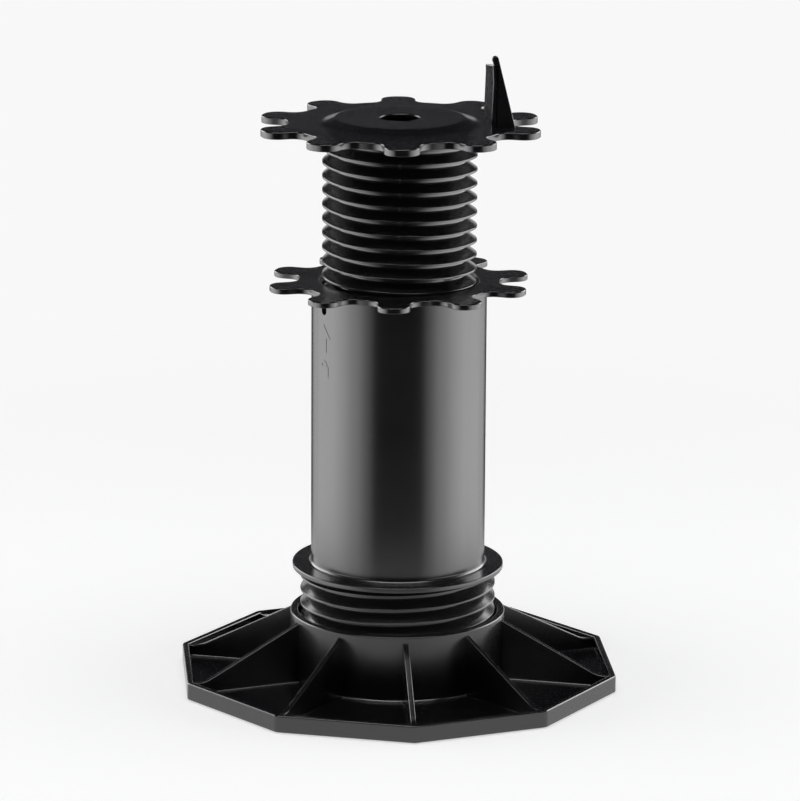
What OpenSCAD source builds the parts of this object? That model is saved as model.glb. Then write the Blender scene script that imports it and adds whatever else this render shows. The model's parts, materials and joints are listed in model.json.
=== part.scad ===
// Adjustable support pedestal for raised floors and decking.
// Four mouldings on one vertical axis: a ten-sided base with a threaded
// socket, an extension tube with a right-hand thread, a lobed adjusting nut
// and a lobed head whose left-hand screw carries the plate and a joist tab.
// Origin: the axis at ground level. +Z is up, -Y is the front.

/* [Base] */
// Width of the ten-sided base across its flats
base_w = 197; // [180:1:260]
// Height of the rim round the base
rim_h = 8; // [6:0.5:14]
// Thickness of the rim wall
rim_t = 3; // [2:0.5:5]
// Radius of the rounded corners of the base
corner_r = 4; // [1:0.5:10]
// Thickness of the floor of the base
floor_t = 2.5; // [2:0.5:4]
// Thickness of a radial rib
rib_t = 2.5; // [1.5:0.5:4]
// Level stretch of a rib before it meets the rim
rib_land = 5; // [2:0.5:12]
// Distance from the top of a rib to the top of the socket
rib_drop = 1.5; // [1:0.2:6]
// Distance from the level stretch of a rib to the top of the rim
rib_step = 0.4; // [0.2:0.1:1]
// Height of the socket above the ground
socket_h = 33; // [30:1:50]
// Wall thickness of the socket
socket_t = 3.5; // [2.5:0.5:6]
// Clearance between the socket and the crest of the tube's thread
socket_gap = 1; // [0.5:0.1:2]
// Turn of the base about the axis, degrees
base_turn = 4.5; // [0:0.5:36]

/* [Extension tube] */
// Outer diameter of the tube
tube_d = 80; // [70:1:100]
// Wall thickness of the tube
tube_t = 2.5; // [2:0.1:4]
// Height of the plain tube above its collar
tube_h = 129.8; // [60:0.1:260]
// Width of the collar beyond the tube
collar_w = 8.6; // [6:0.2:14]
// Thickness of the collar
collar_t = 2.4; // [1.6:0.2:5]
// Radius of the fillet between the collar and the tube
collar_fillet = 1.6; // [0.5:0.1:3]
// Length of the threaded end below the collar
tube_screw_l = 29.5; // [24:0.5:29.5]
// Width of the locking slot at the top of the tube
slot_w = 4; // [2:0.5:6]
// Depth of the locking slot
slot_h = 9.2; // [6:0.2:14]
// Place of the locking slot round the tube, degrees from the front
slot_turn = -58; // [-90:1:90]
// Relief of the raised marks
mark_t = 0.4; // [0.2:0.1:1]
// Height of the raised arrow
arrow_h = 12.6; // [8:0.2:20]

/* [Threads] */
// Rise of both threads in one turn
pitch = 6.55; // [6.55:0.05:9]
// Depth of both threads
thread_depth = 5; // [4:0.1:6]
// Width of the groove between two ridges at its mouth
groove_w = 1.6; // [1.4:0.1:2]
// Width of the groove at its bottom
groove_root_w = 0.9; // [0.8:0.1:1]
// Height of the rounding on a ridge's edges
crest_round = 0.7; // [0.3:0.1:1]
// Clearance between the head's screw and the nut, across the thread
thread_gap = 0.35; // [0.3:0.05:0.5]

/* [Adjusting nut] */
// Distance that the nut's lobes stand out beyond the tube
nut_reach = 20.5; // [14:0.5:40]
// Thickness of the nut's lobed flange
nut_t = 2.7; // [2:0.1:5]
// Depth of the hollows between the nut's lobes
nut_lobe_l = 14.5; // [8:0.5:15]
// Width of one lobe of the nut
nut_lobe_w = 14.6; // [10:0.2:18]
// Wall thickness of the sleeve inside the tube
sleeve_t = 1.6; // [1.2:0.1:3]
// Length of the sleeve inside the tube
sleeve_l = 25; // [18:1:40]
// Clearance between the sleeve and the tube
sleeve_gap = 0.3; // [0.2:0.05:0.6]
// Gap between the nut's flange and the top of the tube
seat_gap = 0.2; // [0.1:0.05:0.5]
// Turn of the nut about the axis, degrees
nut_turn = -2.5; // [-18:0.5:18]

/* [Head] */
// Diameter of the head over its lobes
head_d = 131; // [120:1:180]
// Thickness of the head plate
head_t = 3.4; // [2.4:0.2:6]
// Depth of the hollows between the head's lobes
head_lobe_l = 15; // [8:0.5:18]
// Width of one lobe of the head
head_lobe_w = 16.4; // [12:0.2:18]
// Diameter of the raised disc in the middle of the plate
crown_d = 59; // [40:1:62]
// Height of the raised disc above the plate
crown_h = 2.3; // [1:0.1:4]
// Thickness of the closed top of the screw
crown_t = 2.8; // [2:0.1:4]
// Diameter of the hole through the middle
centre_hole_d = 18; // [8:1:30]
// Length of the head's screw below the plate
screw_l = 108; // [90:1:120]
// Wall thickness of the screw at the bottom of its grooves
screw_wall = 2.8; // [2:0.1:4]
// Number of lobes on the head and on the nut
lobe_count = 10; // [8:1:10]

/* [Joist tab] */
// Distance from the axis to the tab's inner face
tab_x = 39.7; // [34:0.1:42]
// Width of the tab
tab_w = 33.6; // [20:0.2:40]
// Thickness of the tab
tab_t = 3; // [2:0.1:4]
// Height of the tab at its low end
tab_low_h = 23.4; // [16:0.2:28]
// Height of the tab at its high end
tab_high_h = 28.6; // [20:0.2:30]
// Height of the rounded horn on the high end
horn_h = 32.6; // [31:0.2:45]
// Thickness of a gusset behind the tab
gusset_t = 2.8; // [2:0.1:5]
// Reach of a gusset's foot behind the tab
gusset_l = 8; // [4:0.2:12]
// Outward lean of the tab, degrees
tab_lean = 2; // [0:0.5:4]
// Turn of the tab about the axis, degrees
tab_turn = 5; // [-10:0.5:10]

/* [Set height] */
// Gap between the socket and the tube's collar
tube_gap = 20.3; // [1:0.1:22]
// Gap between the nut and the head plate
head_gap = 69.3; // [1:0.1:80]

/* [Hidden] */
$fn = 96;

side_count = 10;
side_angle = 360 / side_count;
cut = 0.5;            // how far a cutter passes a face, or a foot sinks in
base_colour = [0.10, 0.10, 0.11];
tube_colour = [0.14, 0.14, 0.15];
nut_colour = [0.11, 0.11, 0.12];
head_colour = [0.09, 0.09, 0.10];

// Radii, from the tube outwards and inwards
tube_r = tube_d / 2;
tube_bore_r = tube_r - tube_t;
collar_r = tube_r + collar_w;
lower_crest_r = tube_r + thread_depth;
socket_bore_r = lower_crest_r + socket_gap;
socket_r = socket_bore_r + socket_t;
base_corner_r = base_w / 2 / cos(side_angle / 2);
rim_inner_r = base_corner_r - rim_t / cos(side_angle / 2);
sleeve_r = tube_bore_r - sleeve_gap;
sleeve_bore_r = sleeve_r - sleeve_t;
screw_crest_r = sleeve_bore_r - thread_gap;
screw_root_r = screw_crest_r - thread_depth;
nut_mouth_r = sleeve_bore_r + 0.9;
nut_r = tube_r + nut_reach;
head_r = head_d / 2;

// Heights, from the ground up
collar_z = socket_h + tube_gap;
tube_z = collar_z + collar_t;
tube_top_z = tube_z + tube_h;
nut_z = tube_top_z + seat_gap;
nut_top_z = nut_z + nut_t;
head_z = nut_top_z + head_gap;
plate_top_z = head_z + head_t;
crown_z = plate_top_z + crown_h;

// Threads. Heights of a ridge's middle, where it passes the front.
segments = 30;        // steps in one turn of a ridge
lower_front_z = collar_z - 9;
upper_front_z = head_z - 16.1;
thread_runout = 0.6;  // distance from the collar to the end of the thread's middle
ridge_w = pitch - groove_w;
ridge_root_w = pitch - groove_root_w;
flank_gap = 0.25;     // clearance on each flank of the nut's thread
ridge_sink = 1.2;     // how far a male ridge is rooted in its core
fin_sink = sleeve_t / 2;
fin_tip_r = screw_root_r + 0.8;

// Point on the rim of a circle
function polar(r, a, c = [0, 0]) = [c[0] + r * cos(a), c[1] + r * sin(a)];

// Points along an arc
function arc(r, from, to, steps, c = [0, 0]) =
    [for (i = [0:steps]) polar(r, from + (to - from) * i / steps, c)];

// Turn a list of points about the origin
function turned(points, a) =
    [for (p = points) [p[0] * cos(a) - p[1] * sin(a), p[0] * sin(a) + p[1] * cos(a)]];

function joined(lists) = [for (l = lists) for (p = l) p];

// Regular polygon with rounded corners, one corner at the front
function rounded_polygon(n, r, round_r) =
    let (centre_r = r - round_r / cos(180 / n))
    joined([for (i = [0:n - 1])
        let (a = 360 / n * i - 90)
        arc(round_r, a - 180 / n, a + 180 / n, 4, polar(centre_r, a))]);

// Outline of a disc with rounded lobes, one lobe at the front
module lobed_outline(tip_r, valley_r, lobe_w, tip_round, valley_round) {
    half = lobe_w / 2;
    tip_c = [sqrt(pow(tip_r - tip_round, 2) - pow(half - tip_round, 2)), half - tip_round];
    tip_a = atan2(tip_c[1], tip_c[0]);
    dip_c = [sqrt(pow(valley_r + valley_round, 2) - pow(half + valley_round, 2)),
             half + valley_round];
    dip_a = atan2(dip_c[1], dip_c[0]);
    step = 360 / lobe_count;
    lobe = joined([
        arc(tip_r, 0, tip_a, 2),
        arc(tip_round, tip_a + 18, 90, 4, tip_c),
        arc(valley_round, 270, 180 + dip_a, 5, dip_c),
        arc(valley_r, dip_a + 1, step / 2, 2)
    ]);
    last = len(lobe) - 1;
    mirrored = [for (i = [last - 1:-1:1]) [lobe[i][0], -lobe[i][1]]];
    polygon(joined([for (i = [0:lobe_count - 1])
        turned(joined([lobe, turned(mirrored, step)]), step * i - 90)]));
}

// Helical ridge. hand is 1 for a right-hand thread and -1 for a left-hand one.
// section lists [radius, height] pairs of its cross-section, anticlockwise.
// front_z is a height at which the ridge's middle passes the front.
module ridge(section, from_z, to_z, front_z, hand) {
    step_z = pitch / segments;
    first = ceil((from_z - front_z) / step_z);
    last = floor((to_z - front_z) / step_z);
    count = len(section);
    rings = last - first + 1;
    points = [for (i = [first:last]) for (p = section)
        let (a = hand * 360 * i / segments - 90)
        [p[0] * cos(a), p[0] * sin(a), p[1] + front_z + i * step_z]];
    // Two triangles for each side of the ridge between two rings
    sides = [for (i = [0:rings - 2]) for (j = [0:count - 1])
        let (a = i * count + j,
             b = i * count + (j + 1) % count,
             c = a + count,
             d = b + count)
        each (hand > 0 ? [[a, b, d], [a, d, c]] : [[a, d, b], [a, c, d]])];
    start = [for (j = [0:count - 1]) hand > 0 ? count - 1 - j : j];
    end = [for (j = [0:count - 1]) (rings - 1) * count + (hand > 0 ? j : count - 1 - j)];
    polyhedron(points, concat(sides, [start, end]));
}

// Cross-section of a male ridge on a core of radius root_r
function male_section(root_r, crest_r) = [
    [root_r - ridge_sink, -ridge_root_w / 2],
    [crest_r - crest_round, -ridge_w / 2],
    [crest_r, -ridge_w / 2 + crest_round],
    [crest_r, ridge_w / 2 - crest_round],
    [crest_r - crest_round, ridge_w / 2],
    [root_r - ridge_sink, ridge_root_w / 2]
];

// Cross-section of the nut's fin, which runs in the screw's groove
function fin_section() = [
    [fin_tip_r, groove_root_w / 2 - flank_gap + 0.05],
    [fin_tip_r, -groove_root_w / 2 + flank_gap - 0.05],
    [sleeve_bore_r + fin_sink, -groove_w / 2 + flank_gap],
    [sleeve_bore_r + fin_sink, groove_w / 2 - flank_gap]
];

// Ten-sided tray with ribs that carry a round socket
module base() {
    color(base_colour) rotate(base_turn) difference() {
        union() {
            base_tray();
            translate([0, 0, cut]) cylinder(r = socket_r, h = socket_h - cut);
            for (i = [0:side_count - 1]) rotate(side_angle * i - 90) rib();
        }
        translate([0, 0, floor_t]) cylinder(r = socket_bore_r, h = socket_h);
    }
}

module base_tray() {
    difference() {
        linear_extrude(rim_h) polygon(rounded_polygon(side_count, base_corner_r, corner_r));
        translate([0, 0, floor_t])
            linear_extrude(rim_h)
                polygon(rounded_polygon(side_count, rim_inner_r, corner_r / 2));
    }
}

// Rib in the plane of the X axis, from the socket down to a corner of the rim
module rib() {
    root = socket_bore_r + socket_t / 2;
    end = rim_inner_r + cut;
    profile = [
        [root, floor_t - cut],
        [end, floor_t - cut],
        [end, rim_h - rib_step],
        [rim_inner_r - rib_land, rim_h - rib_step],
        [root, socket_h - rib_drop]
    ];
    translate([0, rib_t / 2, 0]) rotate([90, 0, 0]) linear_extrude(rib_t) polygon(profile);
}

// Plain tube with a collar and a right-hand thread at its lower end
module extension_tube() {
    screw_z = collar_z - tube_screw_l;
    color(tube_colour) difference() {
        union() {
            translate([0, 0, screw_z]) cylinder(r = tube_r, h = tube_top_z - screw_z);
            translate([0, 0, collar_z]) cylinder(r = collar_r, h = collar_t);
            collar_fillet_ring();
            ridge(male_section(tube_r, lower_crest_r), screw_z + ridge_root_w / 2,
                  collar_z - thread_runout, lower_front_z, 1);
            tube_marks();
        }
        translate([0, 0, screw_z - cut]) cylinder(r = tube_bore_r, h = tube_top_z);
        locking_slot();
    }
}

module collar_fillet_ring() {
    inner = tube_r - cut;
    corner = [tube_r + collar_fillet, tube_z + collar_fillet];
    rotate_extrude() polygon(joined([
        [[inner, tube_z - cut], [corner[0], tube_z - cut]],
        arc(collar_fillet, 270, 180, 4, corner),
        [[inner, corner[1]]]
    ]));
}

// Slot with a round lower end, open at the top of the tube
module locking_slot() {
    reach = tube_t + 2 * cut;
    rotate(slot_turn - 90)
        translate([tube_bore_r - cut, 0, tube_top_z - slot_h + slot_w / 2])
            rotate([0, 90, 0]) {
                cylinder(d = slot_w, h = reach);
                translate([-slot_h, -slot_w / 2, 0]) cube([slot_h, slot_w, reach]);
            }
}

// Raised arrow that points to the slot, with a plain padlock below it
module tube_marks() {
    mark_w = arrow_h * 0.8;
    arrow_z = tube_top_z - slot_h - 4.4 - arrow_h;
    lock_w = mark_w * 0.7;
    lock_z = arrow_z - 3 - lock_w * 1.2;
    intersection() {
        tube_skin(lock_z - cut, arrow_z + arrow_h + cut);
        rotate(slot_turn - 90) rotate([90, 0, 90]) linear_extrude(tube_r + 2 * mark_t) {
            translate([0, arrow_z]) up_arrow(mark_w, arrow_h);
            translate([0, lock_z]) padlock(lock_w);
        }
    }
}

// Thin shell just proud of the tube, which the marks are cut from
module tube_skin(from_z, to_z) {
    translate([0, 0, from_z]) difference() {
        cylinder(r = tube_r + mark_t, h = to_z - from_z);
        translate([0, 0, -cut]) cylinder(r = tube_r - cut, h = to_z - from_z + 2 * cut);
    }
}

module up_arrow(w, h) {
    stem_w = w * 0.4;
    polygon([[-stem_w / 2, 0], [stem_w / 2, 0], [stem_w / 2, h - w * 0.6], [w / 2, h - w * 0.6],
             [0, h], [-w / 2, h - w * 0.6], [-stem_w / 2, h - w * 0.6]]);
}

module padlock(w) {
    body_h = w * 0.7;
    translate([-w / 2, 0]) square([w, body_h]);
    translate([0, body_h]) difference() {
        circle(d = w * 0.75);
        circle(d = w * 0.4);
    }
}

// Lobed ring on top of the tube, with a threaded sleeve inside it
module adjusting_nut() {
    sleeve_z = nut_z - sleeve_l;
    color(nut_colour) rotate(nut_turn) difference() {
        union() {
            translate([0, 0, nut_z]) linear_extrude(nut_t)
                lobed_outline(nut_r, nut_r - nut_lobe_l, nut_lobe_w, 4, 4.5);
            translate([0, 0, sleeve_z]) cylinder(r = sleeve_r, h = sleeve_l + nut_t / 2);
        }
        translate([0, 0, sleeve_z - cut]) cylinder(r = sleeve_bore_r, h = sleeve_l + nut_t + 1);
        translate([0, 0, nut_top_z - 1]) cylinder(r = nut_mouth_r, h = 1 + cut);
    }
    color(nut_colour)
        ridge(fin_section(), sleeve_z + 1, nut_top_z - 1.6, upper_front_z + pitch / 2, -1);
}

// Lobed plate on a hollow left-hand screw, with a joist tab on the plate
module head() {
    screw_z = head_z - screw_l;
    cavity_r = screw_root_r - screw_wall;
    color(head_colour) {
        difference() {
            union() {
                translate([0, 0, head_z]) linear_extrude(head_t)
                    lobed_outline(head_r, head_r - head_lobe_l, head_lobe_w, 4.5, 5);
                crown();
                translate([0, 0, screw_z]) cylinder(r = screw_root_r, h = screw_l + cut);
                ridge(male_section(screw_root_r, screw_crest_r), screw_z + ridge_root_w / 2,
                      head_z, upper_front_z, -1);
            }
            translate([0, 0, screw_z - cut])
                cylinder(r = cavity_r, h = crown_z - crown_t - screw_z + cut);
            translate([0, 0, crown_z - crown_t - cut])
                cylinder(d = centre_hole_d, h = crown_t + 2 * cut);
        }
        rotate(tab_turn) joist_tab();
    }
}

// Raised disc with a rounded edge
module crown() {
    edge = min(1.5, crown_h * 0.65);
    radius = crown_d / 2;
    rotate_extrude() polygon(joined([
        [[0, plate_top_z - cut], [radius, plate_top_z - cut]],
        arc(edge, 0, 90, 4, [radius - edge, crown_z - edge]),
        [[0, crown_z]]
    ]));
}

// Upright tab that a joist is fixed against, with a gusset at each end
module joist_tab() {
    lip_z = tab_low_h - 3;
    profile = [[0, -cut], [tab_t, -cut], [tab_t, lip_z], [tab_t - 0.6, horn_h], [-0.9, horn_h], [0, lip_z]];
    slope = [[-tab_w / 2, -cut], [tab_w / 2, -cut], [tab_w / 2, tab_low_h], [-tab_w / 2, tab_high_h]];
    translate([tab_x, 0, plate_top_z]) rotate([0, tab_lean, 0]) {
        intersection() {
            along_tab(tab_w) polygon(profile);
            rotate([90, 0, 90]) translate([0, 0, -tab_t])
                linear_extrude(3 * tab_t) polygon(slope);
        }
        translate([0, (gusset_t - tab_w) / 2, 0]) along_tab(gusset_t) horn_gusset();
        translate([0, (tab_w - gusset_t) / 2, 0]) along_tab(gusset_t) low_gusset();
    }
}

// Extrude an outline in the X-Z plane, centred across the tab's width
module along_tab(w) {
    translate([0, w / 2, 0]) rotate([90, 0, 0]) linear_extrude(w) children();
}

// Tall gusset that ends in a rounded horn above the tab
module horn_gusset() {
    tip_r = 1.5;
    polygon(joined([
        [[tab_t / 2, -cut], [tab_t + gusset_l, -cut], [tab_t + gusset_l, 0]],
        arc(tip_r, 15, 200, 6, [0.6, horn_h - tip_r]),
        [[0.6, tab_high_h - 2]]
    ]));
}

module low_gusset() {
    polygon([[tab_t / 2, -cut], [tab_t + gusset_l, -cut], [tab_t + gusset_l, 0],
             [tab_t, tab_low_h - 3], [tab_t / 2, tab_low_h - 3]]);
}

base();
extension_tube();
adjusting_nut();
head();
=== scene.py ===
"""Adjustable support pedestal: fine meshes, finishes, floor, lights and camera
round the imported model. Lengths are in millimetres in the tables below and in
metres in Blender. +Z is up and -Y is the front."""
import json
import math

import bmesh
import bpy
from mathutils import Matrix, Vector

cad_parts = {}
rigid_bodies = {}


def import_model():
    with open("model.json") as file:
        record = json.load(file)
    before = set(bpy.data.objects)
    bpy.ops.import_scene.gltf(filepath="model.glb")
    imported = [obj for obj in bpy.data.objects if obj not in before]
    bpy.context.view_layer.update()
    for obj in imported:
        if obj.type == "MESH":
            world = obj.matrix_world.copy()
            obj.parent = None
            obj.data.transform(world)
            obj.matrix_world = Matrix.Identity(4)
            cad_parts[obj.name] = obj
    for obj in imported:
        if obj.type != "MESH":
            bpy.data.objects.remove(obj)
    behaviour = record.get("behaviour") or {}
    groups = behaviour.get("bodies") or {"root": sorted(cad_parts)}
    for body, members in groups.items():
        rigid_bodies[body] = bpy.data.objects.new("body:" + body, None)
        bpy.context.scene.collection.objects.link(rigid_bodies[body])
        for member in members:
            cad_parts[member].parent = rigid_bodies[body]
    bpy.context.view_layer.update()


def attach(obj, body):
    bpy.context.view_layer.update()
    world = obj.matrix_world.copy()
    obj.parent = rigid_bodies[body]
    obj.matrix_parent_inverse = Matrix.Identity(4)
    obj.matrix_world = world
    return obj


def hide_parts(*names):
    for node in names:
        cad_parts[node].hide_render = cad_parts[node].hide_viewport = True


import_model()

MM = 0.001
FRONT = -90.0            # direction of the front, degrees from +X

# ---- sizes, the same as the construction model's ------------------------------
SIDES = 10
BASE_FLAT = 98.5         # axis to a flat of the base
BASE_ROUND = 4.0
BASE_TURN = 4.5
RIM_T, RIM_H = 3.0, 8.0
FLOOR_T = 2.5
SOCKET_R, SOCKET_BORE, SOCKET_H = 49.5, 46.0, 33.0
RIB_T, RIB_LAND, RIB_TOP, RIB_LOW = 2.5, 5.0, 31.5, 7.6

TUBE_R, TUBE_BORE = 40.0, 37.5
COLLAR_R, COLLAR_Z, TUBE_Z = 48.6, 53.3, 55.7
TUBE_END, TUBE_TOP = 23.8, 185.5
LOWER_CREST = 45.0
SLOT_W, SLOT_H, SLOT_TURN = 4.0, 9.2, -58.0
MARK_T, ARROW_H, ARROW_W, ARROW_GAP, LOCK_GAP = 0.14, 12.6, 10.1, 4.4, 3.0

NUT_Z, NUT_TOP, NUT_TURN = 185.7, 188.4, -2.5
NUT_R, NUT_VALLEY_R, NUT_LOBE_W = 60.5, 46.0, 14.6
NUT_TIP_ROUND, NUT_VALLEY_ROUND = 6.3, 6.2
SLEEVE_R, SLEEVE_BORE, SLEEVE_Z = 37.2, 35.6, 160.7
NUT_MOUTH = 36.5

HEAD_R, HEAD_VALLEY_R, HEAD_LOBE_W = 65.5, 51.0, 16.0
HEAD_TIP_ROUND, HEAD_VALLEY_ROUND = 7.0, 6.4
HEAD_TURN = 0.9

HEAD_Z, PLATE_TOP, CROWN_TOP = 257.7, 261.1, 263.4
CROWN_R, CROWN_FOOT, HOLE_R = 29.5, 35.0, 9.0
CAVITY_R, CAVITY_TOP = 27.45, 260.6
SCREW_CREST, SCREW_ROOT, SCREW_Z = 35.25, 30.25, 149.7

PITCH = 6.55
CREST_W, FLANK_H = 0.9, 3.5
LOWER_FRONT_Z, UPPER_FRONT_Z = 44.3, 241.6

TAB_X, TAB_W, TAB_T = 39.7, 33.6, 3.0
TAB_LOW, TAB_HIGH, HORN_H = 23.4, 28.6, 32.6
TAB_LEAN, TAB_TURN = 2.0, 5.0
GUSSET_T, GUSSET_L = 2.8, 8.0


# ---- mesh helpers -----------------------------------------------------------
def polar(r, a, c=(0.0, 0.0)):
    a = math.radians(a)
    return (c[0] + r * math.cos(a), c[1] + r * math.sin(a))


def fillet(points, steps=4):
    """Profile points (x, z, radius, kind) with each corner rounded, as (x, z, kind)."""
    out = []
    n = len(points)
    for i, (x, z, r, kind) in enumerate(points):
        if r <= 0 or i in (0, n - 1):
            out.append((x, z, kind))
            continue
        p = Vector((x, z))
        to_prev = Vector(points[i - 1][:2]) - p
        to_next = Vector(points[i + 1][:2]) - p
        angle = to_prev.angle(to_next)
        reach = min(r / math.tan(angle / 2), to_prev.length * 0.49, to_next.length * 0.49)
        r = reach * math.tan(angle / 2)
        a, b = p + to_prev.normalized() * reach, p + to_next.normalized() * reach
        mid = (to_prev.normalized() + to_next.normalized()).normalized()
        centre = p + mid * (r / math.sin(angle / 2))
        va, vb = a - centre, b - centre
        turn = va.angle_signed(vb)
        for k in range(steps + 1):
            v = va.copy()
            v.rotate(Matrix.Rotation(-turn * k / steps, 2))
            q = centre + v
            out.append((q.x, q.y, kind))
    return out


def decagon(inset):
    """Outline of the base, set in by a distance."""
    flat = BASE_FLAT - inset
    r = max(BASE_ROUND - inset, 0.6)
    reach = (flat - r) / math.cos(math.pi / SIDES)
    corners = [[polar(r, a - 18 + 36 * k / 8, polar(reach, a)) for k in range(9)]
               for a in (FRONT + BASE_TURN + 36 * i for i in range(SIDES))]
    out = []
    for i, arc in enumerate(corners):
        nxt = corners[(i + 1) % SIDES][0]
        out += arc
        out += [(arc[-1][0] + (nxt[0] - arc[-1][0]) * k / 20,
                 arc[-1][1] + (nxt[1] - arc[-1][1]) * k / 20) for k in range(1, 20)]
    return out


def lobed(tip_r, valley_r, lobe_w, tip_round, valley_round, turn, count=10):
    """Outline points of a lobed disc, each with its outward normal."""
    half = lobe_w / 2
    tip_x = math.sqrt((tip_r - tip_round) ** 2 - (half - tip_round) ** 2)
    dip_x = math.sqrt((valley_r + valley_round) ** 2 - (half + valley_round) ** 2)
    tip_c, dip_c = (tip_x, half - tip_round), (dip_x, half + valley_round)
    tip_a = math.degrees(math.atan2(tip_c[1], tip_c[0]))
    dip_a = math.degrees(math.atan2(dip_c[1], dip_c[0]))
    step = 360 / count
    side = []
    for k in range(5):
        a = tip_a * k / 5
        side.append((polar(tip_r, a), polar(1, a)))
    for k in range(9):
        a = tip_a + (90 - tip_a) * k / 8
        side.append((polar(tip_round, a, tip_c), polar(1, a)))
    for k in range(1, 4):
        side.append(((tip_x + (dip_x - tip_x) * k / 4, half), (0, 1)))
    for k in range(9):
        a = 270 + (180 + dip_a - 270) * k / 8
        side.append((polar(valley_round, a, dip_c), polar(-1, a)))
    for k in range(1, 5):
        a = dip_a + (step / 2 - dip_a) * k / 4
        side.append((polar(valley_r, a), polar(1, a)))
    mirrored = [((x, -y), (u, -v)) for (x, y), (u, v) in reversed(side[1:])]
    lobe = side + [(rotate(p, step), rotate(n, step)) for p, n in mirrored[1:]]
    return [(rotate(p, step * i + FRONT + turn), rotate(n, step * i + FRONT + turn))
            for i in range(count) for p, n in lobe]


def rotate(p, a):
    c, s = math.cos(math.radians(a)), math.sin(math.radians(a))
    return (p[0] * c - p[1] * s, p[0] * s + p[1] * c)


def add_loft(bm, loops, closed=False):
    """Quads between loops of 3-D points, capped at both ends unless it closes on itself."""
    rows = [[bm.verts.new(Vector(p) * MM) for p in loop] for loop in loops]
    n = len(rows[0])
    pairs = list(zip(rows, rows[1:]))
    if closed:
        pairs.append((rows[-1], rows[0]))
    for a, b in pairs:
        for i in range(n):
            j = (i + 1) % n
            bm.faces.new((a[i], a[j], b[j], b[i]))
    if not closed:
        bm.faces.new(list(reversed(rows[0])))
        bm.faces.new(rows[-1])
    return rows


def circle(r, z, angles):
    return [(*polar(r, a), z) for a in angles]


def even_angles(n):
    return [360 * i / n for i in range(n)]


def finish_mesh(name, bm, sharp=38):
    bmesh.ops.remove_doubles(bm, verts=bm.verts, dist=1e-7)
    bmesh.ops.recalc_face_normals(bm, faces=bm.faces)
    mesh = bpy.data.meshes.new(name)
    bm.to_mesh(mesh)
    bm.free()
    for p in mesh.polygons:
        p.use_smooth = True
    mesh.set_sharp_from_angle(angle=math.radians(sharp))
    obj = bpy.data.objects.new(name, mesh)
    bpy.context.scene.collection.objects.link(obj)
    return obj


def join(name, parts):
    """One object from several, keeping the first one's data settings."""
    for o in bpy.context.view_layer.objects:
        o.select_set(False)
    for o in parts:
        o.select_set(True)
    bpy.context.view_layer.objects.active = parts[0]
    bpy.ops.object.join()
    parts[0].name = name
    parts[0].data.name = name
    return parts[0]


def boolean(obj, other, operation):
    """Applies an exact boolean and removes the cutter."""
    mod = obj.modifiers.new("boolean", "BOOLEAN")
    mod.operation, mod.object, mod.solver = operation, other, "EXACT"
    dg = bpy.context.evaluated_depsgraph_get()
    mesh = bpy.data.meshes.new_from_object(obj.evaluated_get(dg))
    obj.modifiers.clear()
    obj.data = mesh
    bpy.data.objects.remove(other)
    for p in mesh.polygons:
        p.use_smooth = True
    mesh.set_sharp_from_angle(angle=math.radians(38))
    return obj


# ---- thread -----------------------------------------------------------------
def thread_period(root, crest):
    """Radius and height along one pitch of a buttress thread, from a crest's middle: a narrow
    land at the crest, a sloping upper flank, a land at the root and a near-flat lower flank."""
    top = CREST_W / 2
    return [(x, z) for x, z, _ in fillet([
        (crest, 0, 0, 0), (crest, top, 0.3, 0), (root, top + FLANK_H, 0.5, 0),
        (root, PITCH - top - 0.3, 0.4, 0), (crest, PITCH - top, 0.3, 0),
        (crest, PITCH, 0, 0)], 4)][:-1]


def thread_shell(name, root, crest, from_z, to_z, front_z, hand, inner, turns=120, seam=0.0):
    """Closed shell round a core: a ridged helical surface cut level at both ends."""
    period = thread_period(root, crest)
    k = len(period)
    angles = [360 * i / turns for i in range(turns)]
    bump = {}
    if seam:
        for a in (0.0, 180.0):
            for off, up in ((-0.42, 0), (-0.2, seam), (0.2, seam), (0.42, 0)):
                bump[(a + off) % 360] = up
        angles = [a for a in angles if min(abs((a - b + 180) % 360 - 180) for b in (0, 180)) > 0.5]
        angles = sorted(angles + list(bump))
    first = math.floor((from_z - front_z) / PITCH) - 2
    last = math.ceil((to_z - front_z) / PITCH) + 2
    bm = bmesh.new()
    columns = []
    for a in angles:
        column = []
        for t in range(first, last):
            for r, z in period:
                r += bump.get(a, 0)
                column.append(bm.verts.new(
                    Vector((*polar(r, FRONT + hand * a), front_z + PITCH * (t + a / 360) + z)) * MM))
        columns.append(column)
    rows = len(columns[0])
    for i, column in enumerate(columns):
        last_one = i == len(columns) - 1
        nxt = columns[0] if last_one else columns[i + 1]
        shift = k if last_one else 0
        for j in range(rows - 1):
            if j + 1 + shift < rows:
                bm.faces.new((column[j], nxt[j + shift], nxt[j + 1 + shift], column[j + 1]))
    for z, normal in ((from_z, (0, 0, -1)), (to_z, (0, 0, 1))):
        geom = bm.verts[:] + bm.edges[:] + bm.faces[:]
        bmesh.ops.bisect_plane(bm, geom=geom, dist=1e-8, plane_co=(0, 0, z * MM),
                               plane_no=normal, clear_outer=True)
    rims = []
    for z in (from_z, to_z):
        edges = [e for e in bm.edges if e.is_boundary
                 and all(abs(v.co.z - z * MM) < 1e-7 for v in e.verts)]
        made = bmesh.ops.extrude_edge_only(bm, edges=edges)["geom"]
        for v in (g for g in made if isinstance(g, bmesh.types.BMVert)):
            scale = inner * MM / math.hypot(v.co.x, v.co.y)
            v.co.x *= scale
            v.co.y *= scale
        rims += [g for g in made if isinstance(g, bmesh.types.BMEdge)]
    bmesh.ops.bridge_loops(bm, edges=rims)
    return finish_mesh(name, bm, 50)


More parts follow.
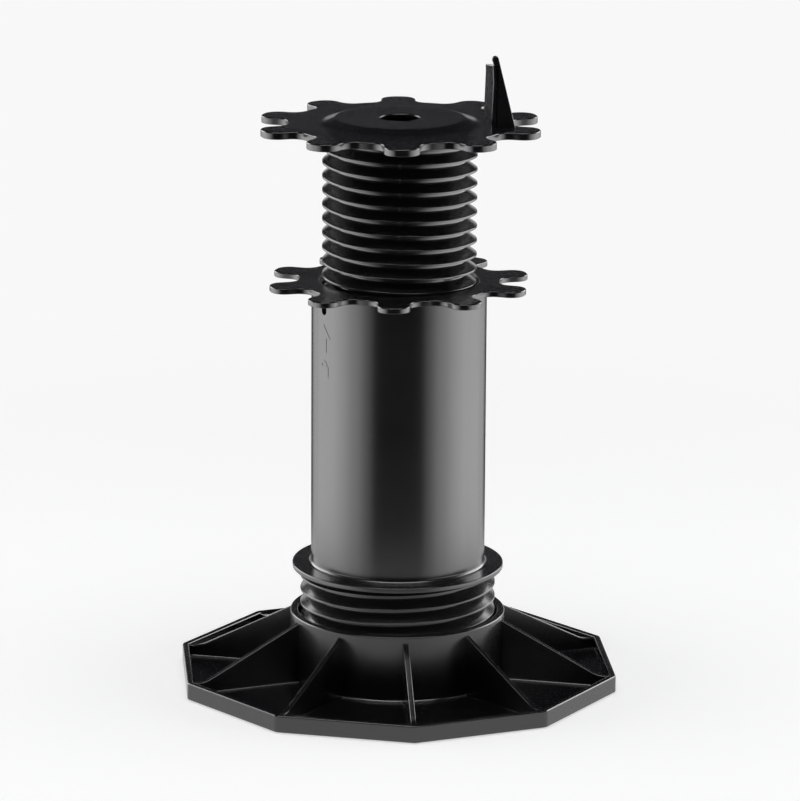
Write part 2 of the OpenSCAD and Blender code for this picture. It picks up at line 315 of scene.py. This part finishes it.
# ---- base -------------------------------------------------------------------
def base_body():
    w, c = "wall", "ring"
    profile = fillet([
        (20, 0, 0, c), (BASE_FLAT, 0, 0.5, w), (BASE_FLAT, RIM_H, 0.8, w),
        (BASE_FLAT - RIM_T, RIM_H, 0.8, w), (BASE_FLAT - RIM_T, FLOOR_T, 1.8, w),
        (SOCKET_R, FLOOR_T, 1.5, c), (SOCKET_R, SOCKET_H, 0.7, c),
        (SOCKET_BORE, SOCKET_H, 0.7, c), (SOCKET_BORE, FLOOR_T, 1.0, c), (20, FLOOR_T, 0, c)], 5)
    angles = [math.degrees(math.atan2(y, x)) for x, y in decagon(0)]
    loops = []
    for x, z, kind in profile:
        if kind == w:
            loops.append([(px, py, z) for px, py in decagon(BASE_FLAT - x)])
        else:
            loops.append(circle(x, z, angles))
    bm = bmesh.new()
    add_loft(bm, loops)
    return finish_mesh("base_shell", bm, 45)


def rib_top(x, knee, slope):
    """Height of a rib's top edge, with a soft bend where it turns level."""
    soft = 3.0
    if x <= knee - soft:
        return RIB_LOW + (knee - x) * slope
    if x >= knee + soft:
        return RIB_LOW
    t = (knee + soft - x) / (2 * soft)
    return RIB_LOW + slope * soft * t * t


def base_rib(index):
    root, end = SOCKET_R - 1.75, (BASE_FLAT - RIM_T) / math.cos(math.pi / SIDES) + 0.3
    knee = end - 0.8 - RIB_LAND
    slope = (RIB_TOP - RIB_LOW) / (knee - root)
    stations = [root + (knee - 3.5 - root) * i / 6 for i in range(7)]
    stations += [knee - 3 + 6 * i / 8 for i in range(9)] + [end]
    half, foot, top = RIB_T / 2, 1.1, 0.6
    loops = []
    for x in stations:
        h = rib_top(x, knee, slope)
        side = [(half + foot, FLOOR_T - 0.4), (half + foot, FLOOR_T - 0.02)]
        side += [polar(foot, 270 - 90 * k / 4, (half + foot, FLOOR_T + foot)) for k in range(1, 5)]
        side += [polar(top, 90 * k / 4, (half - top, h - top)) for k in range(5)]
        section = side + [(-y, z) for y, z in reversed(side)]
        turned = []
        for y, z in section:
            px, py = rotate((x, y), FRONT + BASE_TURN + 36 * index)
            turned.append((px, py, z))
        loops.append(turned)
    bm = bmesh.new()
    add_loft(bm, loops)
    return finish_mesh(f"rib_{index}", bm, 45)


# ---- tube -------------------------------------------------------------------
def tube_body():
    profile = fillet([
        (TUBE_BORE, 100, 0, 0), (TUBE_BORE, TUBE_END, 0.5, 0), (TUBE_R - 0.4, TUBE_END, 0.5, 0),
        (TUBE_R - 0.4, COLLAR_Z, 0, 0), (COLLAR_R, COLLAR_Z, 0.45, 0), (COLLAR_R, TUBE_Z, 0.5, 0),
        (TUBE_R, TUBE_Z, 1.6, 0), (TUBE_R, TUBE_TOP, 0.45, 0), (TUBE_BORE, TUBE_TOP, 0.45, 0),
        (TUBE_BORE, 101, 0, 0)], 5)
    angles = even_angles(192)
    bm = bmesh.new()
    add_loft(bm, [circle(x, z, angles) for x, z, _ in profile], closed=True)
    return finish_mesh("tube_body", bm, 40)


def slot_cutter():
    bm = bmesh.new()
    outline = [(-SLOT_W / 2, 12.0), (SLOT_W / 2, 12.0)]
    outline += [polar(SLOT_W / 2, -180 * k / 12, (0, SLOT_W / 2)) for k in range(13)]
    base_z = TUBE_TOP - SLOT_H
    loops = []
    for reach in (TUBE_BORE - 3, TUBE_R + 3):
        loop = []
        for u, v in outline:
            px, py = rotate((reach, u), FRONT + SLOT_TURN)
            loop.append((px, py, base_z + v))
        loops.append(loop)
    add_loft(bm, loops)
    return finish_mesh("slot", bm)


def wrapped_mark(name, outline, z):
    """Flat outline (u across, v up) raised on the tube's wall."""
    bm = bmesh.new()
    verts = [bm.verts.new((u, v, 0)) for u, v in outline]
    edges = [bm.edges.new((verts[i], verts[(i + 1) % len(verts)])) for i in range(len(verts))]
    bmesh.ops.triangle_fill(bm, use_beauty=True, edges=edges)
    span = max(abs(u) for u, v in outline)
    steps = int(span * 2) + 1
    for i in range(1, steps):
        u = -span + 2 * span * i / steps
        bmesh.ops.bisect_plane(bm, geom=bm.verts[:] + bm.edges[:] + bm.faces[:],
                               plane_co=(u, 0, 0), plane_no=(1, 0, 0))
    top = bm.faces[:]
    made = bmesh.ops.extrude_face_region(bm, geom=top, use_keep_orig=True)["geom"]
    lid = {g for g in made if isinstance(g, bmesh.types.BMVert)}
    for v in bm.verts:
        r = TUBE_R + (MARK_T if v in lid else -0.3)
        a = FRONT + SLOT_TURN + math.degrees(v.co.x / TUBE_R)
        px, py = polar(r, a)
        v.co = Vector((px, py, z + v.co.y)) * MM
    return finish_mesh(name, bm, 30)


def tube_marks():
    arrow_z = TUBE_TOP - SLOT_H - ARROW_GAP - ARROW_H
    stem, neck = ARROW_W * 0.2, ARROW_H - ARROW_W * 0.6
    arrow = [(-stem, 0), (stem, 0), (stem, neck), (ARROW_W / 2, neck), (0, ARROW_H),
             (-ARROW_W / 2, neck), (-stem, neck)]
    w = ARROW_W * 0.7
    lock_z = arrow_z - LOCK_GAP - w * 1.2
    body = [(-w / 2, 0), (w / 2, 0), (w / 2, w * 0.7), (-w / 2, w * 0.7)]
    outer = [polar(w * 0.375, 180 * k / 16, (0, w * 0.7)) for k in range(17)]
    inner = [polar(w * 0.2, 180 - 180 * k / 16, (0, w * 0.7)) for k in range(17)]
    return [wrapped_mark("arrow", arrow, arrow_z), wrapped_mark("lock_body", body, lock_z),
            wrapped_mark("lock_shackle", outer + inner, lock_z)]


# ---- nut --------------------------------------------------------------------
def lobed_loft(bm, profile, outline, closed):
    """Loft of profile points: 'o' follows the outline set in by x, 'c' is a circle of radius x."""
    angles = [math.degrees(math.atan2(y, x)) for (x, y), _ in outline]
    loops = []
    for x, z, kind in profile:
        if kind == "c":
            loops.append(circle(x, z, angles))
        else:
            loops.append([(p[0] - n[0] * (kind - x), p[1] - n[1] * (kind - x), z)
                          for p, n in outline])
    add_loft(bm, loops, closed)


def nut_body():
    tip = NUT_R
    outline = lobed(tip, NUT_VALLEY_R, NUT_LOBE_W, NUT_TIP_ROUND, NUT_VALLEY_ROUND, NUT_TURN)
    profile = fillet([
        (SLEEVE_BORE, 170, 0, "c"), (SLEEVE_BORE, NUT_TOP - 1, 0.3, "c"),
        (NUT_MOUTH, NUT_TOP - 1, 0.2, "c"), (NUT_MOUTH, NUT_TOP, 0.35, "c"),
        (tip, NUT_TOP, 0.55, tip), (tip, NUT_Z, 0.45, tip), (SLEEVE_R, NUT_Z, 0.5, "c"),
        (SLEEVE_R, SLEEVE_Z, 0.5, "c"), (SLEEVE_BORE, SLEEVE_Z, 0.5, "c"),
        (SLEEVE_BORE, 169, 0, "c")], 5)
    bm = bmesh.new()
    lobed_loft(bm, profile, outline, True)
    return finish_mesh("nut_body", bm, 40)


def nut_fin():
    """Helical fin inside the sleeve, which runs in the screw's groove."""
    tip_r, root_r = SCREW_ROOT + 0.8, SLEEVE_BORE + 0.8
    section = [(tip_r, 0.25), (tip_r, -0.25), (root_r, -0.55), (root_r, 0.55)]
    front_z = UPPER_FRONT_Z + PITCH / 2
    first = math.ceil((SLEEVE_Z + 1 - front_z) / PITCH * 96)
    last = math.floor((NUT_TOP - 1.6 - front_z) / PITCH * 96)
    bm = bmesh.new()
    add_loft(bm, [[(*polar(r, FRONT - 360 * i / 96), front_z + PITCH * i / 96 + z)
                   for r, z in section] for i in range(first, last + 1)])
    return finish_mesh("nut_fin", bm)


# ---- head -------------------------------------------------------------------
def head_body():
    tip = HEAD_R
    outline = lobed(tip, HEAD_VALLEY_R, HEAD_LOBE_W, HEAD_TIP_ROUND, HEAD_VALLEY_ROUND,
                    HEAD_TURN)
    core = SCREW_ROOT - 0.4
    profile = fillet([
        (CAVITY_R, 200, 0, "c"), (CAVITY_R, CAVITY_TOP, 1.0, "c"), (HOLE_R, CAVITY_TOP, 0.3, "c"),
        (HOLE_R, CROWN_TOP, 0.7, "c"), (CROWN_R, CROWN_TOP, 1.6, "c"),
        (CROWN_FOOT, PLATE_TOP, 9.0, "c"), (tip, PLATE_TOP, 0.6, tip), (tip, HEAD_Z, 0.45, tip),
        (core, HEAD_Z, 0, "c"), (core, SCREW_Z, 0.5, "c"), (CAVITY_R, SCREW_Z, 0.5, "c"),
        (CAVITY_R, 199, 0, "c")], 5)
    bm = bmesh.new()
    lobed_loft(bm, profile, outline, True)
    return finish_mesh("head_body", bm, 40)


def tab_frame(x, y, z):
    """A point given on the upright tab, leaned and turned into place."""
    lean = math.radians(TAB_LEAN)
    px = x * math.cos(lean) + z * math.sin(lean) + TAB_X
    pz = -x * math.sin(lean) + z * math.cos(lean) + PLATE_TOP
    px, py = rotate((px, y), TAB_TURN)
    return (px, py, pz)


def bevelled(obj, width, angle=30):
    mod = obj.modifiers.new("bevel", "BEVEL")
    mod.width, mod.segments, mod.limit_method = width * MM, 3, "ANGLE"
    mod.angle_limit = math.radians(angle)
    mod.harden_normals = True
    dg = bpy.context.evaluated_depsgraph_get()
    mesh = bpy.data.meshes.new_from_object(obj.evaluated_get(dg))
    obj.modifiers.clear()
    obj.data = mesh
    for p in mesh.polygons:
        p.use_smooth = True
    return obj


def tab_plate():
    lip = TAB_LOW - 3
    heights = [-0.5, 6, 12, lip, 0]
    bm = bmesh.new()
    loops = []
    for i in range(9):
        y = -TAB_W / 2 + TAB_W * i / 8
        top = TAB_HIGH + (TAB_LOW - TAB_HIGH) * i / 8
        loop = []
        for z in heights[:-1] + [top]:
            lean_in = max(0.0, z - lip)
            loop.append((-0.9 * lean_in / (HORN_H - lip), z))
        for z in [top] + heights[-2::-1]:
            lean_in = max(0.0, z - lip)
            loop.append((TAB_T - 0.6 * lean_in / (HORN_H - lip), z))
        loops.append([tab_frame(x, y, z) for x, z in loop])
    add_loft(bm, loops)
    return bevelled(finish_mesh("tab_plate", bm), 0.45)


def gusset(name, outline, y_mid):
    bm = bmesh.new()
    add_loft(bm, [[tab_frame(x, y_mid + off, z) for x, z in outline]
                  for off in (-GUSSET_T / 2, GUSSET_T / 2)])
    return bevelled(finish_mesh(name, bm), 0.4)


def head_tab():
    horn = [(TAB_T / 2, -0.5), (TAB_T + GUSSET_L, -0.5), (TAB_T + GUSSET_L, 0)]
    horn += [polar(1.5, 15 + 185 * k / 12, (0.6, HORN_H - 1.5)) for k in range(13)]
    horn += [(0.6, TAB_HIGH - 2)]
    low = [(TAB_T / 2, -0.5), (TAB_T + GUSSET_L, -0.5), (TAB_T + GUSSET_L, 0),
           (TAB_T, TAB_LOW - 3), (TAB_T / 2, TAB_LOW - 3)]
    shift = (TAB_W - GUSSET_T) / 2
    return [tab_plate(), gusset("horn", horn, -shift), gusset("low", low, shift)]


# ---- finishes ---------------------------------------------------------------
SPECULAR, ROUGH = 0.9, 0.22
# The tube's black is the same plastic made about twice as pale: painted light that lifts the dark,
# shaded middle of the tube.
BLACK, TUBE_BLACK_PAINTED_LIFT, HEAD_BLACK = (
    (0.0045, 0.0045, 0.005), (0.010, 0.010, 0.0105), (0.0042, 0.0042, 0.0047))


def plastic(name, colour, rough, seed):
    """Black moulded plastic: satin gloss, faint flow marks, fine grain, and a painted highlight that
    makes sharp edges paler.
    """
    mat = bpy.data.materials.new(name)
    mat.use_nodes = True
    nodes, links = mat.node_tree.nodes, mat.node_tree.links
    shader = nodes["Principled BSDF"]
    shader.inputs["IOR"].default_value = 1.5
    shader.inputs["Specular IOR Level"].default_value = SPECULAR
    coords = nodes.new("ShaderNodeTexCoord")

    def noise_node(scale, detail, stretch=None):
        tex = nodes.new("ShaderNodeTexNoise")
        tex.noise_dimensions = "4D"
        tex.inputs["W"].default_value = seed
        tex.inputs["Scale"].default_value = scale
        tex.inputs["Detail"].default_value = detail
        source = coords.outputs["Object"]
        if stretch:
            mapping = nodes.new("ShaderNodeMapping")
            mapping.inputs["Scale"].default_value = stretch
            links.new(source, mapping.inputs["Vector"])
            source = mapping.outputs["Vector"]
        links.new(source, tex.inputs["Vector"])
        return tex.outputs["Fac"]

    def ranged(value, low, high, to_low, to_high):
        node = nodes.new("ShaderNodeMapRange")
        node.inputs["From Min"].default_value = low
        node.inputs["From Max"].default_value = high
        node.inputs["To Min"].default_value = to_low
        node.inputs["To Max"].default_value = to_high
        links.new(value, node.inputs["Value"])
        return node.outputs["Result"]

    def mixed(fac, a, b):
        node = nodes.new("ShaderNodeMix")
        node.data_type = "RGBA"
        links.new(fac, node.inputs["Factor"])
        for value, socket in ((a, node.inputs["A"]), (b, node.inputs["B"])):
            if isinstance(value, tuple):
                socket.default_value = (*value, 1)
            else:
                links.new(value, socket)
        return node.outputs["Result"]

    clouds = noise_node(28, 3)
    flow = noise_node(30, 2, (1, 1, 0.25))
    body = mixed(ranged(clouds, 0.3, 0.7, 0, 1), colour, tuple(c * 1.5 + 0.001 for c in colour))
    # Painted highlight: sharp edges, found by pointiness, get a paler colour that stands in for the
    # light lines the edges catch.
    edge = ranged(nodes.new("ShaderNodeNewGeometry").outputs["Pointiness"], 0.53, 0.62, 0, 0.5)
    links.new(mixed(edge, body, tuple(c * 2.4 + 0.006 for c in colour)), shader.inputs["Base Color"])
    rough_mix = nodes.new("ShaderNodeMath")
    rough_mix.operation = "ADD"
    links.new(ranged(flow, 0.3, 0.7, rough - 0.03, rough + 0.03), rough_mix.inputs[0])
    links.new(ranged(noise_node(1400, 2), 0.3, 0.7, -0.015, 0.015), rough_mix.inputs[1])
    links.new(rough_mix.outputs["Value"], shader.inputs["Roughness"])
    grain = nodes.new("ShaderNodeBump")
    grain.inputs["Strength"].default_value = 0.02
    grain.inputs["Distance"].default_value = 0.0002
    links.new(noise_node(1500, 3), grain.inputs["Height"])
    waves = nodes.new("ShaderNodeBump")
    waves.inputs["Strength"].default_value = 0.05
    waves.inputs["Distance"].default_value = 0.001
    links.new(noise_node(60, 1), waves.inputs["Height"])
    links.new(grain.outputs["Normal"], waves.inputs["Normal"])
    links.new(waves.outputs["Normal"], shader.inputs["Normal"])
    return mat


FINISH = {
    "base": plastic("base_plastic", BLACK, ROUGH, 1.0),
    "tube": plastic("tube_plastic", TUBE_BLACK_PAINTED_LIFT, ROUGH, 2.0),
    "nut": plastic("nut_plastic", BLACK, ROUGH, 3.0),
    "head": plastic("head_plastic", HEAD_BLACK, ROUGH, 4.0),
}


def dress(obj, body, node):
    obj.data.materials.clear()
    obj.data.materials.append(FINISH[body])
    flats = obj.modifiers.new("flat_faces", "WEIGHTED_NORMAL")
    flats.keep_sharp = True
    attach(obj, body)
    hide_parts(node)


# ---- pieces -----------------------------------------------------------------
base = join("base_tray", [base_body()] + [base_rib(i) for i in range(SIDES)])
dress(base, "base", "base")

tube_wall = boolean(tube_body(), slot_cutter(), "DIFFERENCE")
lower_thread = thread_shell("lower_thread", TUBE_R, LOWER_CREST, TUBE_END + 0.3, COLLAR_Z + 0.1,
                            LOWER_FRONT_Z, 1, TUBE_R - 1.2, seam=0.08)
tube = join("extension_pipe", [tube_wall, lower_thread] + tube_marks())
dress(tube, "tube", "extension_tube")

nut = join("turning_nut", [nut_body(), nut_fin()])
dress(nut, "nut", "adjusting_nut")

upper_thread = thread_shell("upper_thread", SCREW_ROOT, SCREW_CREST, SCREW_Z + 0.3, HEAD_Z + 0.1,
                            UPPER_FRONT_Z, -1, SCREW_ROOT - 1.2, seam=0.2)
head = join("head_plate", [head_body(), upper_thread] + head_tab())
dress(head, "head", "head")


# ---- floor, lights and camera -----------------------------------------------
PALE = 0.939             # what the camera sees of the background
TABLE_R, TABLE_FADE = 0.16, 0.34
FLOOR_NEAR, FLOOR_FAR = 0.2, 0.75  # where the floor starts and ends melting into the backdrop
FLOOR_LIT, FLOOR_GLOW, TABLE_GLOW = 0.8, 0.50, 0.95


def bare_material(name):
    """A new material, its node tree and the surface socket of its output."""
    mat = bpy.data.materials.new(name)
    mat.use_nodes = True
    mat.node_tree.nodes.clear()
    out = mat.node_tree.nodes.new("ShaderNodeOutputMaterial")
    return mat, mat.node_tree, out.inputs["Surface"]


def radial_fade(tree, near, far):
    """0 within a distance of the axis, 1 beyond another."""
    coords = tree.nodes.new("ShaderNodeTexCoord")
    length = tree.nodes.new("ShaderNodeVectorMath")
    length.operation = "LENGTH"
    ramp = tree.nodes.new("ShaderNodeMapRange")
    ramp.interpolation_type = "SMOOTHSTEP"
    ramp.inputs["From Min"].default_value = near
    ramp.inputs["From Max"].default_value = far
    tree.links.new(coords.outputs["Object"], length.inputs[0])
    tree.links.new(length.outputs["Value"], ramp.inputs["Value"])
    return ramp.outputs["Result"]


def mix_shader(tree, fac, a, b):
    node = tree.nodes.new("ShaderNodeMixShader")
    tree.links.new(fac, node.inputs["Fac"])
    tree.links.new(a, node.inputs[1])
    tree.links.new(b, node.inputs[2])
    return node.outputs[0]


def emission(tree, strength):
    node = tree.nodes.new("ShaderNodeEmission")
    node.inputs["Strength"].default_value = strength
    return node.outputs[0]


def diffuse(tree, value):
    node = tree.nodes.new("ShaderNodeBsdfDiffuse")
    node.inputs["Color"].default_value = (value, value, value, 1)
    return node.outputs[0]


def floor_paper(lit, glow):
    """Pale paper that keeps the shadow near the object and melts into the backdrop."""
    mat, tree, surface = bare_material("floor_paper")
    near = tree.nodes.new("ShaderNodeAddShader")
    tree.links.new(diffuse(tree, lit), near.inputs[0])
    tree.links.new(emission(tree, glow), near.inputs[1])
    fade = radial_fade(tree, FLOOR_NEAR, FLOOR_FAR)
    seen = mix_shader(tree, fade, near.outputs[0], emission(tree, PALE))
    rays = tree.nodes.new("ShaderNodeLightPath")
    final = mix_shader(tree, rays.outputs["Is Camera Ray"], diffuse(tree, lit), seen)
    tree.links.new(final, surface)
    return mat


def table_top(lit):
    """White table close to the object, which only the gloss sees; it fades out."""
    mat, tree, surface = bare_material("table_top")
    clear = tree.nodes.new("ShaderNodeBsdfTransparent")
    final = mix_shader(tree, radial_fade(tree, TABLE_R, TABLE_FADE), emission(tree, lit),
                       clear.outputs[0])
    tree.links.new(final, surface)
    return mat


def plane(name, size, z, material):
    mesh = bpy.data.meshes.new(name)
    half = size / 2
    mesh.from_pydata([(-half, -half, 0), (half, -half, 0), (half, half, 0), (-half, half, 0)],
                     [], [(0, 1, 2, 3)])
    mesh.materials.append(material)
    obj = bpy.data.objects.new(name, mesh)
    obj.location.z = z
    bpy.context.scene.collection.objects.link(obj)
    return obj


floor = plane("floor", 24.0, -0.0004, floor_paper(FLOOR_LIT, FLOOR_GLOW))
floor.visible_glossy = False
table = plane("table", 1.0, -0.0003, table_top(TABLE_GLOW))
table.visible_camera = table.visible_diffuse = table.visible_shadow = False


def softbox(name, at, aim, width, height, radiance):
    """Lamp panel that lights the matt part of every surface; the gloss doesn't see it."""
    lamp = bpy.data.lights.new(name, "AREA")
    lamp.shape, lamp.size, lamp.size_y = "RECTANGLE", width, height
    lamp.energy = radiance * math.pi * width * height
    obj = bpy.data.objects.new(name, lamp)
    bpy.context.scene.collection.objects.link(obj)
    obj.location = at
    obj.rotation_mode = "QUATERNION"
    obj.rotation_quaternion = (Vector(aim) - Vector(at)).to_track_quat("-Z", "Y")
    obj.visible_camera = False
    obj.visible_glossy = False
    return obj


SIDE_X, SIDE_Z = 1.2, -0.05
for side, name in ((-1, "left_softbox"), (1, "right_softbox")):
    softbox(name, (SIDE_X * side, 0.0, SIDE_Z), (0, 0, SIDE_Z), 1.75, 1.1, 3.4)


# Brightness of a side panel along its length: distance in front of (-) or behind the axis
PANEL_GLOW = [(-2.6, 0.0), (-1.73, 0.85), (-0.87, 2.15), (-0.26, 3.15), (0.1, 3.4), (0.52, 2.8),
              (0.94, 2.2), (1.61, 1.3), (3.4, 0.45)]
PANEL_X, PANEL_LOW, PANEL_HIGH = 1.5, -1.5, 0.15


def panel_glow():
    """Glow that is brightest abreast of the object and fades to the front and the back."""
    mat, tree, surface = bare_material("panel_glow")
    start, end = PANEL_GLOW[0][0], PANEL_GLOW[-1][0]
    peak = max(v for _, v in PANEL_GLOW)
    coords = tree.nodes.new("ShaderNodeTexCoord")
    split = tree.nodes.new("ShaderNodeSeparateXYZ")
    place = tree.nodes.new("ShaderNodeMapRange")
    place.inputs["From Min"].default_value = start
    place.inputs["From Max"].default_value = end
    ramp = tree.nodes.new("ShaderNodeValToRGB")
    ramp.color_ramp.interpolation = "EASE"
    stops = ramp.color_ramp.elements
    for i, (y, value) in enumerate(PANEL_GLOW):
        at = (y - start) / (end - start)
        stop = stops[i] if i in (0, 1) else stops.new(at)
        stop.position = at
        stop.color = (value / peak, value / peak, value / peak, 1)
    glow = tree.nodes.new("ShaderNodeEmission")
    glow.inputs["Strength"].default_value = peak
    tree.links.new(coords.outputs["Object"], split.inputs[0])
    tree.links.new(split.outputs["Y"], place.inputs["Value"])
    tree.links.new(place.outputs["Result"], ramp.inputs["Fac"])
    tree.links.new(ramp.outputs["Color"], glow.inputs["Color"])
    tree.links.new(glow.outputs[0], surface)
    return mat


def panel(name, corners, material):
    """Upright panel that only the gloss sees."""
    mesh = bpy.data.meshes.new(name)
    mesh.from_pydata(corners, [], [(0, 1, 2, 3)])
    mesh.materials.append(material)
    obj = bpy.data.objects.new(name, mesh)
    bpy.context.scene.collection.objects.link(obj)
    obj.visible_camera = obj.visible_diffuse = obj.visible_shadow = False
    obj.visible_transmission = False
    material.cycles.emission_sampling = "NONE"
    return obj


def side_panel(name, x, near, far, low, high, material):
    panel(name, [(x, near, low), (x, far, low), (x, far, high), (x, near, high)], material)


side_glow = panel_glow()
for x, name in ((-PANEL_X, "left_panel"), (PANEL_X, "right_panel")):
    side_panel(name, x, PANEL_GLOW[0][0], PANEL_GLOW[-1][0], PANEL_LOW, PANEL_HIGH, side_glow)


def plain_glow(name, strength):
    """Material that glows evenly."""
    mat, tree, surface = bare_material(name)
    tree.links.new(emission(tree, strength), surface)
    return mat


softbox("top_softbox", (0, -0.1, 1.6), (0, 0, 0), 1.6, 1.6, 1.6)

# Pale backdrop at the horizon, which catches the far edges
BACK_Y, BACK_LOW, BACK_HIGH = 3.4, -0.2, 0.5
panel("back_panel", [(-PANEL_X, BACK_Y, BACK_LOW), (PANEL_X, BACK_Y, BACK_LOW),
                     (PANEL_X, BACK_Y, BACK_HIGH), (-PANEL_X, BACK_Y, BACK_HIGH)],
      plain_glow("back_glow", 0.9))

# Brighter panels above the side ones, and a strip overhead, which draw the fine edge lines
EDGE_X, EDGE_NEAR, EDGE_FAR, EDGE_LOW, EDGE_HIGH = 1.48, 0.3, 2.4, 0.16, 1.4
edge_glow = plain_glow("edge_glow", 5.0)
for x, name in ((-EDGE_X, "left_edge_panel"), (EDGE_X, "right_edge_panel")):
    side_panel(name, x, EDGE_NEAR, EDGE_FAR, EDGE_LOW, EDGE_HIGH, edge_glow)
STRIP_X, STRIP_NEAR, STRIP_FAR, STRIP_Z = 1.1, -1.15, -0.55, 1.95
panel("front_strip", [(-STRIP_X, STRIP_NEAR, STRIP_Z), (STRIP_X, STRIP_NEAR, STRIP_Z),
                      (STRIP_X, STRIP_FAR, STRIP_Z), (-STRIP_X, STRIP_FAR, STRIP_Z)],
      plain_glow("strip_glow", 6.0))

ROOM = (0.022, 0.022, 0.026, 1)  # dim studio that the gloss and the shade see
world = bpy.data.worlds.new("studio")
bpy.context.scene.world = world
world.use_nodes = True
tree = world.node_tree
tree.nodes.clear()
out = tree.nodes.new("ShaderNodeOutputWorld")
room = tree.nodes.new("ShaderNodeBackground")
room.inputs["Color"].default_value = ROOM
backdrop = tree.nodes.new("ShaderNodeBackground")
backdrop.inputs["Color"].default_value = (PALE, PALE, PALE, 1)
pick = tree.nodes.new("ShaderNodeMixShader")
rays = tree.nodes.new("ShaderNodeLightPath")
tree.links.new(rays.outputs["Is Camera Ray"], pick.inputs["Fac"])
tree.links.new(room.outputs[0], pick.inputs[1])
tree.links.new(backdrop.outputs[0], pick.inputs[2])
tree.links.new(pick.outputs[0], out.inputs["Surface"])

SENSOR, LENS = 36, 4957.2 * 36 / 801
CAMERA_AT = (0, -2.2054, 0.6759)
camera = bpy.data.objects.new("camera", bpy.data.cameras.new("camera"))
bpy.context.scene.collection.objects.link(camera)
camera.data.sensor_width = SENSOR
camera.data.lens = LENS
camera.data.clip_end = 50
PITCH_DOWN, YAW, ROLL = 0.242, 0.0003, 0.0058
ahead = Vector((math.sin(YAW) * math.cos(PITCH_DOWN), math.cos(YAW) * math.cos(PITCH_DOWN),
                -math.sin(PITCH_DOWN)))
right = ahead.cross(Vector((0, 0, 1))).normalized()
up = right.cross(ahead)
right, up = (math.cos(ROLL) * right + math.sin(ROLL) * up,
             -math.sin(ROLL) * right + math.cos(ROLL) * up)
camera.matrix_world = Matrix.Translation(CAMERA_AT) @ Matrix(
    (right, up, -ahead)).transposed().to_4x4()
bpy.context.scene.camera = camera
bpy.context.scene.view_settings.view_transform = "Standard"
